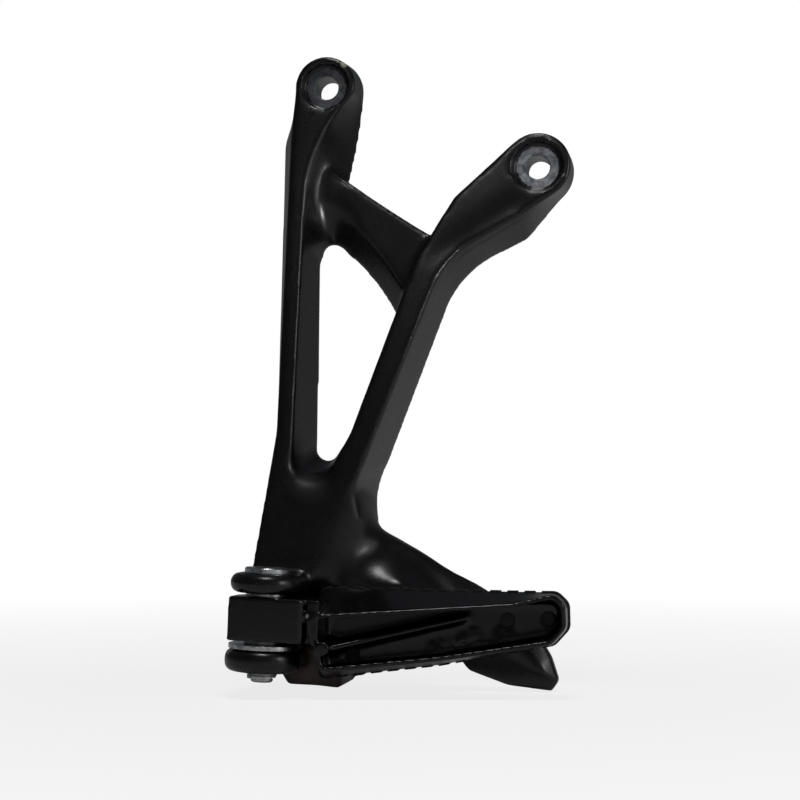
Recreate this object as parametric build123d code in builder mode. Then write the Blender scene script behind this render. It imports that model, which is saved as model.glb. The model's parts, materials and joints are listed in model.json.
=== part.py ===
from build123d import *
import os
from math import cos, radians, sin, sqrt

# Motorcycle passenger footrest hanger, left-hand side, peg folded up.
# Millimetres. The origin is the centre of fixing bolt A on the frame of the machine, +X runs towards the
# tip of the folded peg, +Y towards the machine and +Z up.

os.makedirs("parts", exist_ok=True)

# Fixing bolts A (upper left) and B (right)
bolt_hole_d = 9.0
bolt_span = 80.2
bolt_drop = 32.7
seat_a_d = 17.6
seat_b_d = 18.8
seat_recess = 4.2
seat_break = 0.4

# Bosses, wider at the rear by their draft, and the depth of the frame, which grows downwards
boss_a_r = 11.3
boss_b_r = 12.4
boss_a_depth = 17.0
front_slope = 0.06
pad_height = 1.0
draft_a = 1.4
draft_b = 0.35

# Outline of the frame on its front face: arcs round the bosses in degrees, then corners measured from
# bolt A (ridge, side), from bolt B (shoulder, elbow) or from the middle of the hinge (crotch, corner)
front_arcs = ((188, -17), (131, -62))
front_ridge = ((-0.6, -17.6), (-7.4, -37.0), (-8.0, -60.0))
front_crotch = ((6.0, 57.1), (11.7, 47.6), (18.7, 49.6), (28.0, 66.2))
front_shoulder = ((-45.6, -35.8), (-38.8, -24.1), (-30.8, -11.3))
front_elbow = ((-6.7, -18.3), (-27.4, -30.0), (-34.0, -36.6), (-38.9, -45.5))
front_corner = ((30.5, 49.1), (30.1, 41.2), (34.6, 35.9), (19.0, 14.6), (-8.4, 15.6))
front_side = ((-16.3, -131.0), (-12.4, -19.0))

# The same outline on the rear face
rear_arcs = ((188, -10), (131, -50))
rear_ridge = ((11.0, -17.7), (6.5, -38.0), (-4.0, -66.0))
rear_crotch = ((11.9, 63.6), (16.2, 57.9), (20.2, 61.7), (27.6, 71.6))
rear_shoulder = ((-46.6, -34.8), (-39.7, -23.2), (-31.2, -10.4))
rear_elbow = ((-4.6, -25.4), (-19.2, -32.6), (-28.4, -39.9), (-34.9, -49.6))
rear_corner = ((39.2, 56.6), (35.0, 41.4), (35.6, 34.8), (30.0, -25.4), (-10.4, -23.4))
rear_side = ((-21.2, -131.0), (-18.6, -19.0))

# Crossbar, set back from the front face: corners from bolt A, then from bolt B, and the bow of its lower edge
bar_front = 12.0
bar_front_a = ((-6.0, -24.9), (0.8, -43.6), (-2.2, -43.2), (-4.4, -46.6), (-9.0, -46.6))
bar_front_b = ((-34.2, -27.9), (-46.7, -52.6))
bar_front_bows = ((20.0, -44.2), (17.5, -59.9))
bar_rear_a = ((-6.0, -25.6), (3.0, -60.8), (-0.9, -60.5), (-4.7, -65.0), (-11.0, -65.0))
bar_rear_b = ((-34.2, -28.9), (-52.7, -60.3))
bar_rear_bows = ((20.0, -45.0), (15.3, -72.3))

# Body's slope to the right of its crease: height, crease and slope, measured from the middle of the hinge
slope_depth = 8.0
slope_stations = (
    (6.6, 21.9, 0.85),
    (20.6, 18.9, 0.66),
    (33.6, 16.1, 0.44),
    (58.6, 7.4, 0.12),
    (93.6, 2.9, 0.02),
    (130.6, 0.9, -0.005),
)

# Wing behind the folded peg: X, top and bottom from the middle of the hinge, the depth of its thin edge, and
# the height and depth of its shelf
wing_bow = (0.24, 0.58)
wing_stations = (
    (10.9, 48.6, -18.4, 21.5, 12.6, 24.0),
    (35.9, 32.2, -17.4, 15.0, 11.6, 21.5),
    (61.9, 17.4, -12.4, 6.5, 0.6, 15.5),
    (88.9, 0.7, -16.4, 4.5, -9.4, 11.5),
)

# Luggage hook at the wing's end: corners from the middle of the hinge, and how far its ridge stands out
hook_rear = 3.0
hook_front = 9.5
hook_ridge = 3.6
hook_corners = (
    (74.0, 5.0),
    (96.2, -7.4),
    (101.0, -15.6),
    (103.7, -24.0),
    (101.0, -27.9),
    (84.8, -26.0),
    (70.2, -20.7),
    (62.0, -10.5),
)
hook_crest = (
    (84.0, -8.5),
    (88.0, -9.0),
    (96.8, -17.8),
    (98.4, -20.8),
    (97.2, -21.8),
    (92.6, -19.6),
    (85.6, -13.6),
    (81.0, -9.5),
)

# Foot below the lower ear: corners from the middle of the hinge
foot_front = 23.0
foot_corners = ((-3.1, -13.4), (26.4, -15.4), (25.2, -26.2), (4.6, -25.4))

# Pockets in the hidden rear face: depth, then the corners, from bolt A or, in the body, from the hinge
pocket_round = 2.0
pocket_taper = 4
rear_pockets = (
    (8.0, (-13.3, -20.0), (2.5, -20.0), (0.0, -40.0), (-8.0, -62.0), (-8.6, -132.0), (-16.0, -132.0)),
    (9.0, (44.0, -64.0), (52.0, -62.0), (40.5, -82.0), (24.0, -126.0), (18.0, -126.0), (34.5, -80.0)),
)
body_pocket_depth = 13.0
body_pocket = ((6.9, 48.6), (24.9, 48.6), (24.9, 26.6), (2.9, 26.6))

# Hinge of the peg
hinge_x = -16.9
hinge_y = -41.0
hinge_z = -198.6
hinge_tilt = 2.7
pin_d = 8.0
pin_clearance = 0.03
lug_clearance = 0.06
upper_ear_r = 13.0
lower_ear_r = 13.8
upper_ear_t = 7.2
lower_ear_t = 8.4
ear_run = 2.0
ear_tail = (0.9, -0.7)
wall_offset = 0.05
wall_width = 1.7
ear_round = 3.2
lug_height = 15.8
stop_gap = 0.3

# Pieces stacked on the pin
face_gap = 0.06
washer_r = 7.0
shim_t = 0.9
washer_t = 1.3
plate_t = 1.5
head_d = 16.0
head_t = 2.0
clip_washer_r = 5.3
clip_washer_t = 1.2
clip_r = 5.4
clip_t = 1.0
groove_depth = 0.8
pin_tail = 1.3
pin_chamfer = 0.5
clip_washer_clearance = 0.12
clip_mouth = 6.0
clip_notch_spread = 120

# Folding peg: corners of its deck and of its open rim, clockwise from the upper root corner
peg_root = 17.3
peg_length = 90.0
peg_root_depth = 21.0
peg_tip_depth = 10.0
peg_wall = 2.6
peg_floor = 3.2
pocket_draft = 0.6
rim_wall = 1.6
seat_in = 1.0
end_wall = 4.4
root_groove_r = 1.3
root_groove_out = 0.3
lug_round = 60
rib_t = 2.0
rib_root = (19.5, -11.3)
rib_end = (72.6, 0.3)
post_d = 5.0
post_place = (23.1, -10.0)
deck_setback = 10.0
lug_front = 10.5
deck_corners = (
    (19.0, 10.6),
    (88.0, 9.5),
    (104.5, 9.4),
    (108.6, 5.4),
    (108.8, -3.5),
    (103.6, -9.2),
    (62.0, -16.9),
    (18.2, -22.2),
)
rim_corners = (
    (16.8, 1.5),
    (90.0, 5.8),
    (104.8, 9.4),
    (108.8, 5.8),
    (109.2, -2.5),
    (103.8, -8.6),
    (64.0, -14.2),
    (22.2, -18.2),
)
corner_rounds = (2.4, 4.6)
pocket_rounds = (1.4, 2.0)

# Rubber tread
tread_t = 4.4
tread_overhang = 0.4
tread_groove = 1.8
tread_groove_w = 2.4
tread_pitch = 6.2
stud_d = 3.4
stud_lip = 0.8
stud_corners = ((29.0, 3.2), (31.0, -13.5), (87.0, -0.3), (101.5, 0.2))

# Detent
ball_d = 6.35
spring_d = 5.6
spring_wire = 0.9
spring_length = 6.0
spring_pitch = 1.6
detent_hole_d = 2.2
ball_inset = 1.1
plate_rim = 1.3
plate_gap = 0.5


def facing(depth):
    """Plane square to the bolts at Y = depth, seen from the outer side, with X right and Z up."""
    return Plane(origin=(0, depth, 0), x_dir=(1, 0, 0), z_dir=(0, -1, 0))


def from_b(dx, dz):
    """Point of the frame's outline, measured from bolt B."""
    return (bolt_span + dx, -bolt_drop + dz)


def from_hinge(dx, dz):
    """Point of the frame's outline, measured from the middle of the hinge."""
    return (hinge_x + dx, hinge_z + dz)


def on_circle(centre, radius, angle):
    """Point on a circle of the outline."""
    return (centre[0] + radius * cos(radians(angle)), centre[1] + radius * sin(radians(angle)))


bolt_a = (0.0, 0.0)
bolt_b = (bolt_span, -bolt_drop)
boss_b_depth = boss_a_depth + front_slope * bolt_drop
front_plane = Plane(origin=(0, -boss_a_depth, 0), x_dir=(1, 0, 0), z_dir=(0, -1, front_slope))
rear_plane = facing(-pad_height)
slope_reach = 1.5 * bolt_span


def frame_section(plane, r_a, r_b, arcs, ridge, crotch, shoulder, elbow, corner, side):
    """Closed outline of the two legs and the body, on one plane, clockwise from the left of boss A."""
    around_a = [on_circle(bolt_a, r_a, angle) for angle in (arcs[0][0], sum(arcs[0]) / 2, arcs[0][1])]
    around_b = [on_circle(bolt_b, r_b, angle) for angle in (arcs[1][0], sum(arcs[1]) / 2, arcs[1][1])]
    crotch_at = [from_hinge(*point) for point in crotch]
    shoulder_at = [from_b(*point) for point in shoulder]
    elbow_at = [from_b(*point) for point in elbow]
    corner_at = [from_hinge(*point) for point in corner]
    with BuildSketch(plane) as section:
        with BuildLine():
            ThreePointArc(*around_a)
            ThreePointArc(around_a[2], ridge[0], ridge[1])
            Polyline(ridge[1], ridge[2], crotch_at[0])
            ThreePointArc(*crotch_at[:3])
            Polyline(*crotch_at[2:], shoulder_at[0])
            ThreePointArc(*shoulder_at)
            Line(shoulder_at[2], around_b[0])
            ThreePointArc(*around_b)
            Polyline(around_b[2], *elbow_at[:2])
            ThreePointArc(*elbow_at[1:])
            Line(elbow_at[3], corner_at[0])
            ThreePointArc(*corner_at[:3])
            Polyline(*corner_at[2:], *side, around_a[0])
        make_face()
    return section.sketch


frame_front = frame_section(
    front_plane,
    boss_a_r,
    boss_b_r,
    front_arcs,
    front_ridge,
    front_crotch,
    front_shoulder,
    front_elbow,
    front_corner,
    front_side,
)
frame_rear = frame_section(
    rear_plane,
    boss_a_r + draft_a,
    boss_b_r + draft_b,
    rear_arcs,
    rear_ridge,
    rear_crotch,
    rear_shoulder,
    rear_elbow,
    rear_corner,
    rear_side,
)

hinge = Plane(
    origin=(hinge_x, hinge_y, hinge_z),
    x_dir=(cos(radians(hinge_tilt)), 0, -sin(radians(hinge_tilt))),
    z_dir=(sin(radians(hinge_tilt)), 0, cos(radians(hinge_tilt))),
)
detent_arm = washer_r + ball_d / 2 + pin_clearance
lug_r = detent_arm + ball_inset
stop_y = lug_r + stop_gap
wall_rear = -pad_height - hinge_y
lug_top = lug_height / 2
upper_ear_z = lug_top + shim_t + 2 * face_gap
washer_z = -lug_top - washer_t - face_gap
plate_z = washer_z - plate_t - face_gap
lower_ear_z = plate_z - lower_ear_t


def ear_sketch(plane, radius):
    """Outline of one clevis ear on its own plane: round about the pin, its sides running back to the body."""
    with BuildSketch(plane) as ear:
        with BuildLine():
            ThreePointArc((-radius, 0), (0, -radius), (radius, 0))
            Polyline(
                (radius, 0),
                (radius, stop_y + ear_run),
                (ear_tail[0] * radius, wall_rear),
                (ear_tail[1] * radius, wall_rear),
                (-radius, stop_y + ear_run),
                (-radius, 0),
            )
        make_face()
    return ear.sketch


def ear_rim(ear):
    """Upper and lower edges of an ear, from the pin side back to the stop wall."""
    flats = ear.faces().filter_by(hinge)
    return flats.edges().filter_by(lambda edge: edge.center().Y < hinge_y + 0.9 * stop_y)


with BuildPart() as upper_ear:
    extrude(ear_sketch(hinge.offset(upper_ear_z), upper_ear_r), amount=upper_ear_t)
    fillet(ear_rim(upper_ear), ear_round)

with BuildPart() as lower_ear:
    extrude(ear_sketch(hinge.offset(lower_ear_z), lower_ear_r), amount=lower_ear_t)
    fillet(ear_rim(lower_ear), ear_round)


def bar_section(plane, from_bolt_a, from_bolt_b, bows):
    """Outline of the crossbar on one plane, its upper and lower edges bowed."""
    upper_b, lower_b = [from_b(*point) for point in from_bolt_b]
    with BuildSketch(plane) as section:
        with BuildLine():
            ThreePointArc(from_bolt_a[0], bows[0], upper_b)
            Line(upper_b, lower_b)
            ThreePointArc(lower_b, bows[1], from_bolt_a[1])
            Polyline(*from_bolt_a[1:], from_bolt_a[0])
        make_face()
    return section.sketch


def slope_section(rise, crease, slope):
    """Section of the cutter that slopes the body back to the right of its crease, at one height."""
    crease_x, height = from_hinge(crease, rise)
    front = -boss_a_depth + front_slope * height
    with BuildSketch(Plane.XY.offset(height)) as section:
        with BuildLine():
            Polyline(
                (crease_x, front - slope_depth),
                (crease_x + slope_reach, front - slope_depth),
                (crease_x + slope_reach, front + slope * slope_reach),
                (crease_x, front),
                close=True,
            )
        make_face()
    return section.sketch


def wing_section(along, top, bottom, thin, shelf_z, shelf_y):
    """Section across the wing: thin along its upper edge, with a hollow that runs out to a shelf."""
    bow_y = -thin - wing_bow[0] * (shelf_y - thin)
    bow_z = top + wing_bow[1] * (shelf_z - top)
    across = Plane(origin=(hinge_x + along, 0, hinge_z), x_dir=(0, 1, 0), z_dir=(1, 0, 0))
    with BuildSketch(across) as section:
        with BuildLine():
            Line((-pad_height, top), (-thin, top))
            ThreePointArc((-thin, top), (bow_y, bow_z), (-shelf_y, shelf_z))
            Polyline((-shelf_y, shelf_z), (-shelf_y, bottom), (-pad_height, bottom), (-pad_height, top))
        make_face()
    return section.sketch


def plate_sketch(plane, corners):
    """Closed outline on a plane, its corners measured from the middle of the hinge."""
    with BuildSketch(plane) as plate:
        with BuildLine():
            Polyline(*[from_hinge(*corner) for corner in corners], close=True)
        make_face()
    return plate.sketch


with BuildPart() as hook:
    extrude(plate_sketch(facing(-hook_rear), hook_corners), amount=hook_front - hook_rear)
    crest = plate_sketch(facing(-hook_front - hook_ridge), hook_crest)
    loft([crest, plate_sketch(facing(-hook_front), hook_corners)], ruled=True)

bar_face = bar_section(facing(-bar_front), bar_front_a, bar_front_b, bar_front_bows)
bar_back = bar_section(rear_plane, bar_rear_a, bar_rear_b, bar_rear_bows)

with BuildPart() as hanger_casting:
    loft([frame_front, frame_rear], ruled=True)
    loft([slope_section(*station) for station in slope_stations], mode=Mode.SUBTRACT)
    loft([bar_face, bar_back], ruled=True)
    loft([wing_section(*station) for station in wing_stations])
    add(hook.part)
    add(upper_ear.part)
    add(lower_ear.part)
    with BuildSketch(hinge.offset(lower_ear_z + lower_ear_t / 2)):
        with Locations((wall_offset * lower_ear_r, (stop_y + wall_rear) / 2)):
            Rectangle(wall_width * upper_ear_r, wall_rear - stop_y)
    extrude(amount=upper_ear_z + upper_ear_t / 2 - lower_ear_z - lower_ear_t / 2)
    extrude(plate_sketch(rear_plane, foot_corners), amount=foot_front - pad_height)
    with BuildSketch(facing(0)):
        with Locations(bolt_a):
            Circle(boss_a_r)
        with Locations(bolt_b):
            Circle(boss_b_r)
    extrude(amount=boss_a_depth / 2)
    for centre, depth, seat_d in ((bolt_a, boss_a_depth, seat_a_d), (bolt_b, boss_b_depth, seat_b_d)):
        with BuildSketch(facing(seat_recess - depth)):
            with Locations(centre):
                Circle(seat_d / 2)
        extrude(amount=2 * seat_recess, mode=Mode.SUBTRACT)
        with BuildSketch(facing(0)):
            with Locations(centre):
                Circle(bolt_hole_d / 2)
        extrude(amount=depth, mode=Mode.SUBTRACT)
        mouth = hanger_casting.edges().filter_by(GeomType.CIRCLE)
        mouth = mouth.filter_by(lambda edge: abs(edge.radius - bolt_hole_d / 2) < 0.01)
        mouth = mouth.filter_by(lambda edge: abs(edge.arc_center.X - centre[0]) < 0.01)
        mouth = mouth.filter_by(lambda edge: edge.arc_center.Y < -pad_height)
        chamfer(mouth, seat_break)
    with BuildSketch(hinge.offset(lower_ear_z - head_t)):
        Circle(pin_d / 2 + pin_clearance)
    extrude(amount=upper_ear_z + upper_ear_t - lower_ear_z + 2 * head_t, mode=Mode.SUBTRACT)
    for pocket in (*rear_pockets, (body_pocket_depth, *[from_hinge(*corner) for corner in body_pocket])):
        with BuildSketch(rear_plane) as pocket_face:
            with BuildLine():
                Polyline(*pocket[1:], close=True)
            make_face()
            fillet(pocket_face.vertices(), pocket_round)
        extrude(amount=pocket[0], taper=pocket_taper, mode=Mode.SUBTRACT)
hanger_casting.part.label = "hanger_casting"
export_step(hanger_casting.part, "parts/hanger_casting.step")

# Detent: the ball stands in the lug near its edge, clear of the washers
plate_r = detent_arm + detent_hole_d / 2 + plate_rim
plate_rear = stop_y - plate_gap

# Pieces on the pivot pin
upper_ear_top = upper_ear_z + upper_ear_t
head_z = upper_ear_top + face_gap
clip_washer_z = lower_ear_z - clip_washer_t - face_gap
clip_z = clip_washer_z - clip_t - face_gap
pin_end = clip_z - pin_tail

with BuildPart() as pivot_pin:
    with BuildSketch(hinge.offset(pin_end)):
        Circle(pin_d / 2)
    extrude(amount=head_z - pin_end)
    with BuildSketch(hinge.offset(head_z)):
        Circle(head_d / 2)
    extrude(amount=head_t)
    with BuildSketch(hinge.offset(clip_z - face_gap)):
        Circle(pin_d)
        Circle(pin_d / 2 - groove_depth, mode=Mode.SUBTRACT)
    extrude(amount=clip_t + 2 * face_gap, mode=Mode.SUBTRACT)
    rims = pivot_pin.edges().filter_by(GeomType.CIRCLE).sort_by(Axis.Z)
    chamfer([rims[0], rims[-1]], pin_chamfer)
pivot_pin.part.label = "pivot_pin"
export_step(pivot_pin.part, "parts/pivot_pin.step")

with BuildPart() as clip_washer:
    with BuildSketch(hinge.offset(clip_washer_z)):
        Circle(clip_washer_r)
        Circle(pin_d / 2 + clip_washer_clearance, mode=Mode.SUBTRACT)
    extrude(amount=clip_washer_t)
clip_washer.part.label = "clip_washer"
export_step(clip_washer.part, "parts/clip_washer.step")

with BuildPart() as pin_clip:
    with BuildSketch(hinge.offset(clip_z)):
        Circle(clip_r)
        Circle(pin_d / 2 - groove_depth + pin_clearance, mode=Mode.SUBTRACT)
        with Locations((clip_r, 0)):
            Rectangle(2 * clip_r, clip_mouth, mode=Mode.SUBTRACT)
        with PolarLocations(pin_d / 2, 2, clip_notch_spread, clip_notch_spread):
            Circle(groove_depth, mode=Mode.SUBTRACT)
    extrude(amount=clip_t)
pin_clip.part.label = "pin_clip"
export_step(pin_clip.part, "parts/pin_clip.step")

with BuildPart() as upper_shim:
    with BuildSketch(hinge.offset(lug_top + face_gap)):
        Circle(washer_r)
        Circle(pin_d / 2 + lug_clearance, mode=Mode.SUBTRACT)
    extrude(amount=shim_t)
upper_shim.part.label = "upper_shim"
export_step(upper_shim.part, "parts/upper_shim.step")

with BuildPart() as lower_washer:
    with BuildSketch(hinge.offset(washer_z)):
        Circle(washer_r)
        Circle(pin_d / 2 + lug_clearance, mode=Mode.SUBTRACT)
    extrude(amount=washer_t)
lower_washer.part.label = "lower_washer"
export_step(lower_washer.part, "parts/lower_washer.step")

with BuildPart() as detent_plate:
    with BuildSketch(hinge.offset(plate_z)):
        with BuildLine():
            ThreePointArc((-plate_r, 0), (0, -plate_r), (plate_r, 0))
            Polyline((plate_r, 0), (plate_r, plate_rear), (-plate_r, plate_rear), (-plate_r, 0))
        make_face()
        Circle(pin_d / 2 + lug_clearance, mode=Mode.SUBTRACT)
        with Locations((detent_arm, 0), (0, -detent_arm)):
            Circle(detent_hole_d / 2, mode=Mode.SUBTRACT)
    extrude(amount=plate_t)
detent_plate.part.label = "detent_plate"
export_step(detent_plate.part, "parts/detent_plate.step")

# Folding peg. Its root is square to the hinge, and its deck and rim are square to the bolts.
plate_top = plate_z + plate_t
ball_z = plate_top + face_gap + ball_d / 2
spring_z = ball_z + ball_d / 2 + face_gap
deck_y = hinge_y + deck_setback
rim_plane = Plane(
    origin=(hinge_x + peg_root, deck_y - peg_root_depth, 0),
    x_dir=(1, (peg_root_depth - peg_tip_depth) / peg_length, 0),
    z_dir=((peg_root_depth - peg_tip_depth) / peg_length, -1, 0),
)


def peg_outline(plane, corners, rounds, inset=0.0):
    """Outline of the peg on one plane: corners from the middle of the hinge, rounded at root and tip."""
    with BuildSketch(plane) as outline:
        with BuildLine():
            Polyline(*[(dx - plane.origin.X + hinge_x, dz + hinge_z) for dx, dz in corners], close=True)
        make_face()
        if inset:
            offset(amount=-inset, kind=Kind.INTERSECTION, mode=Mode.REPLACE)
        fillet(outline.vertices().sort_by(Axis.X)[-4:], rounds[1])
        fillet(outline.vertices().sort_by(Axis.X)[:2], rounds[0])
    return outline.sketch


stud_places = [(hinge_x + dx, hinge_z + dz) for dx, dz in stud_corners]
groove_count = int((peg_length - tread_pitch) / tread_pitch)
groove_places = [(hinge_x + peg_root + tread_pitch * (place + 1), hinge_z) for place in range(groove_count)]
deck_face = peg_outline(facing(deck_y), deck_corners, corner_rounds)
rim_face = peg_outline(rim_plane, rim_corners, corner_rounds)

lug_corner = lug_r * sin(radians(lug_round))
pocket_floor = peg_outline(facing(deck_y - peg_floor), deck_corners, pocket_rounds, peg_wall + pocket_draft)
pocket_mouth = peg_outline(rim_plane.offset(rim_wall / 3), rim_corners, pocket_rounds, rim_wall)
rib_start = (hinge_x + rib_root[0], deck_y - seat_in, hinge_z + rib_root[1])
rib_plane = Plane(
    origin=rib_start,
    x_dir=(rib_end[0] - rib_root[0], 0, rib_end[1] - rib_root[1]),
    z_dir=(rib_end[1] - rib_root[1], 0, rib_root[0] - rib_end[0]),
)
rib_length = sqrt((rib_end[0] - rib_root[0]) ** 2 + (rib_end[1] - rib_root[1]) ** 2)
rib_height = peg_root_depth - seat_in

with BuildPart() as footpeg:
    loft([deck_face, rim_face], ruled=True)
    loft([pocket_floor, pocket_mouth], ruled=True, mode=Mode.SUBTRACT)
    with BuildSketch(hinge.offset(-lug_top)):
        with BuildLine():
            Line((-lug_r, -lug_front), (-lug_r, 0))
            ThreePointArc(
                (-lug_r, 0),
                (-lug_r * cos(radians(lug_round / 2)), lug_r * sin(radians(lug_round / 2))),
                (-lug_r * cos(radians(lug_round)), lug_corner),
            )
            Polyline(
                (-lug_r * cos(radians(lug_round)), lug_corner),
                (peg_root + end_wall, lug_corner),
                (peg_root + end_wall, -lug_front),
                (-lug_r, -lug_front),
            )
        make_face()
    extrude(amount=lug_height)
    with BuildSketch(rib_plane):
        with BuildLine():
            Polyline((0, 0), (0, rib_height), (rib_length, peg_floor), (rib_length, 0), close=True)
        make_face()
    extrude(amount=rib_t / 2, both=True)
    with BuildSketch(facing(deck_y - seat_in)):
        with Locations((hinge_x + post_place[0], hinge_z + post_place[1])):
            Circle(post_d / 2)
    extrude(amount=rib_height)
    with BuildSketch(hinge.offset(-lug_height)):
        with Locations((peg_root - root_groove_r, -lug_front - root_groove_out)):
            Circle(root_groove_r)
    extrude(amount=2 * lug_height, mode=Mode.SUBTRACT)
    with BuildSketch(hinge.offset(-lug_height)):
        Circle(pin_d / 2 + lug_clearance)
    extrude(amount=2 * lug_height, mode=Mode.SUBTRACT)
    with BuildSketch(hinge.offset(-lug_top)):
        with Locations((detent_arm, 0)):
            Circle(ball_d / 2 + face_gap)
    extrude(amount=spring_z + spring_length + face_gap + lug_top, mode=Mode.SUBTRACT)
    with BuildSketch(facing(deck_y)):
        with Locations(*stud_places):
            Circle(stud_d / 2 + pin_clearance)
    extrude(amount=2 * peg_floor, mode=Mode.SUBTRACT)
footpeg.part.label = "footpeg"
export_step(footpeg.part, "parts/footpeg.step")

with BuildPart() as tread_base:
    extrude(peg_outline(facing(deck_y), deck_corners, corner_rounds), amount=-(tread_t - tread_groove))

with BuildPart() as tread_rubber:
    extrude(peg_outline(facing(deck_y), deck_corners, corner_rounds, -tread_overhang), amount=-tread_t)
    with BuildSketch(facing(deck_y)):
        with Locations(*groove_places):
            Rectangle(tread_groove_w, peg_length)
    extrude(amount=-tread_t, mode=Mode.SUBTRACT)
    add(tread_base.part)
    with BuildSketch(facing(deck_y)):
        with Locations(*stud_places):
            Circle(stud_d / 2)
    extrude(amount=peg_floor)
    with BuildSketch(facing(deck_y - peg_floor)):
        with Locations(*stud_places):
            Circle(stud_d / 2 + stud_lip)
    extrude(amount=stud_lip)
tread_rubber.part.label = "tread_rubber"
export_step(tread_rubber.part, "parts/tread_rubber.step")

with BuildPart() as detent_ball:
    with Locations(hinge.location * Pos(detent_arm, 0, ball_z)):
        Sphere(ball_d / 2)
detent_ball.part.label = "detent_ball"
export_step(detent_ball.part, "parts/detent_ball.step")

spring_foot = hinge.from_local_coords(Vector(detent_arm, 0, spring_z + spring_wire / 2))
with BuildPart() as detent_spring:
    with BuildLine() as coil:
        Helix(
            pitch=spring_pitch,
            height=spring_length - spring_wire,
            radius=(spring_d - spring_wire) / 2,
            center=spring_foot,
            direction=hinge.z_dir,
        )
    with BuildSketch(Plane(origin=coil.line @ 0, z_dir=coil.line % 0)):
        Circle(spring_wire / 2)
    sweep(is_frenet=True)
detent_spring.part.label = "detent_spring"
export_step(detent_spring.part, "parts/detent_spring.step")
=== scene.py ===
import json
import math

import bmesh
import bpy
import numpy as np
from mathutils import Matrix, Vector


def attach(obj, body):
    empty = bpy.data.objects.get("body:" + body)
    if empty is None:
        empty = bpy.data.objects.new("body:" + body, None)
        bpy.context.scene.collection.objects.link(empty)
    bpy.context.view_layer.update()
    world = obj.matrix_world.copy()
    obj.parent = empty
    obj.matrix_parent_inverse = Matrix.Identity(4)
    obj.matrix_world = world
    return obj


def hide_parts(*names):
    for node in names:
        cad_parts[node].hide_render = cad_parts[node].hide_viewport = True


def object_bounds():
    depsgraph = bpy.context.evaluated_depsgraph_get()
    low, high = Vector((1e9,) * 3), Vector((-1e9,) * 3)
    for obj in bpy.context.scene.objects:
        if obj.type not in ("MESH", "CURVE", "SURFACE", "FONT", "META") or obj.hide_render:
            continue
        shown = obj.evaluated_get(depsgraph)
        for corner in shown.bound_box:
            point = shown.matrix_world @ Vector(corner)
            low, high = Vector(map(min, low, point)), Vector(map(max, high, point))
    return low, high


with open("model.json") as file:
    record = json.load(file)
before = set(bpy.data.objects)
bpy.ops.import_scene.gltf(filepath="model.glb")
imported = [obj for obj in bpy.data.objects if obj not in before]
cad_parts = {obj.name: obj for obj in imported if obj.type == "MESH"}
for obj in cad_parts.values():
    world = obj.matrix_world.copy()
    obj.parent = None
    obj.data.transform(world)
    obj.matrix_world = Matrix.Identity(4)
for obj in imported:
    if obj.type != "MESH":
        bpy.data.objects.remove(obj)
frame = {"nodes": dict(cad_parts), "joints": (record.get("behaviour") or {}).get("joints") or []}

bl_info = {
    "name": "Footrest hanger",
    "version": (1, 0, 0),
    "blender": (4, 5, 0),
    "location": "3D View > Sidebar > Hanger",
    "description": "Cast passenger footrest hanger with its folding peg, drawn round the packed solids",
    "category": "Object",
}

# Places and lengths are in metres, in the frame of the solids, unless a comment says millimetres
CAD_LOW, CAD_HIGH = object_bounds()
JOINT = frame["joints"][0]
HINGE = np.array(JOINT["pos_m"], float)
PIN_AXIS = np.array(JOINT["axis"], float)
PIN_AXIS = PIN_AXIS / np.linalg.norm(PIN_AXIS)
DEPTH_AXIS = np.array((0.0, 1.0, 0.0))
BOLT_A = np.array((0.0, 0.0, 0.0))
BOLT_B = np.array((0.0802, 0.0, -0.0327))

# How each casting is softened: passes of averaging, its rate in hollows and on edges, and the most
# triangles kept
CASTING_SOFTNESS = {"passes": 26, "concave": 0.5, "convex": 0.14, "target": 199000}
PEG_SOFTNESS = {"passes": 36, "concave": 0.5, "convex": 0.07, "target": 120000}
NORMALS_EVERY = 6

# Machined places that keep the solid's shape: where the softness starts and where it is full, as the
# distance from a bolt's line or the pin's line, and as the depth in front of the rear pads
SEAT_HOLD = (0.0093, 0.0106)
BORE_HOLD = (0.0048, 0.0062)
PEG_BORE_HOLD = (0.0046, 0.0060)
PAD_HOLD = (0.0002, 0.0007)

# Stop wall behind the lug, which is held too: its reach from the pin, its half height, and its depth (Y)
STOP_REACH = (0.0128, 0.0140)
STOP_HEIGHT = (0.0095, 0.0105)
STOP_DEPTH = (-0.0340, -0.0325)

# Shallow dish along arm B: the two ends of its middle line (X, Z), its half width, its depth, how it fades
# in at its start and out at its end, and the band of Y that counts as the front
DISH_START = np.array((0.0755, -0.0457))
DISH_END = np.array((0.0435, -0.0657))
DISH_WIDTH = 0.0055
DISH_DEPTH = 0.0009
DISH_FADE_IN = (-0.008, 0.006)
DISH_FADE_OUT = 0.010
DISH_FRONT = (-0.0172, -0.0150)

# Shelf of the wing behind the folded peg: where it fades in and out (X), the drops below bolt A where it
# starts and is full, the depths that count as the wing, and how far out it comes (Y)
SHELF_FADE_IN = (-0.0040, 0.0100)
SHELF_FADE_OUT = (0.0240, 0.0640)
SHELF_DROP = (0.1740, 0.1880)
SHELF_FRONT = (0.0090, 0.0140)
SHELF_OUT = -0.0261

# More softness where the photograph shows one form run into the next: centre, radius, passes
SOFT_PLACES = (
    ((-0.0030, -0.0240, -0.1480), 0.0100, 70),
    ((0.0120, -0.0220, -0.1740), 0.0165, 380),
    ((0.0210, -0.0155, -0.1640), 0.0100, 120),
    ((0.0440, -0.0160, -0.1830), 0.0130, 160),
    ((0.0015, -0.0110, -0.0530), 0.0095, 170),
    ((0.0020, -0.0120, -0.0400), 0.0060, 60),
)
SOFT_RATE = 0.5

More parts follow.
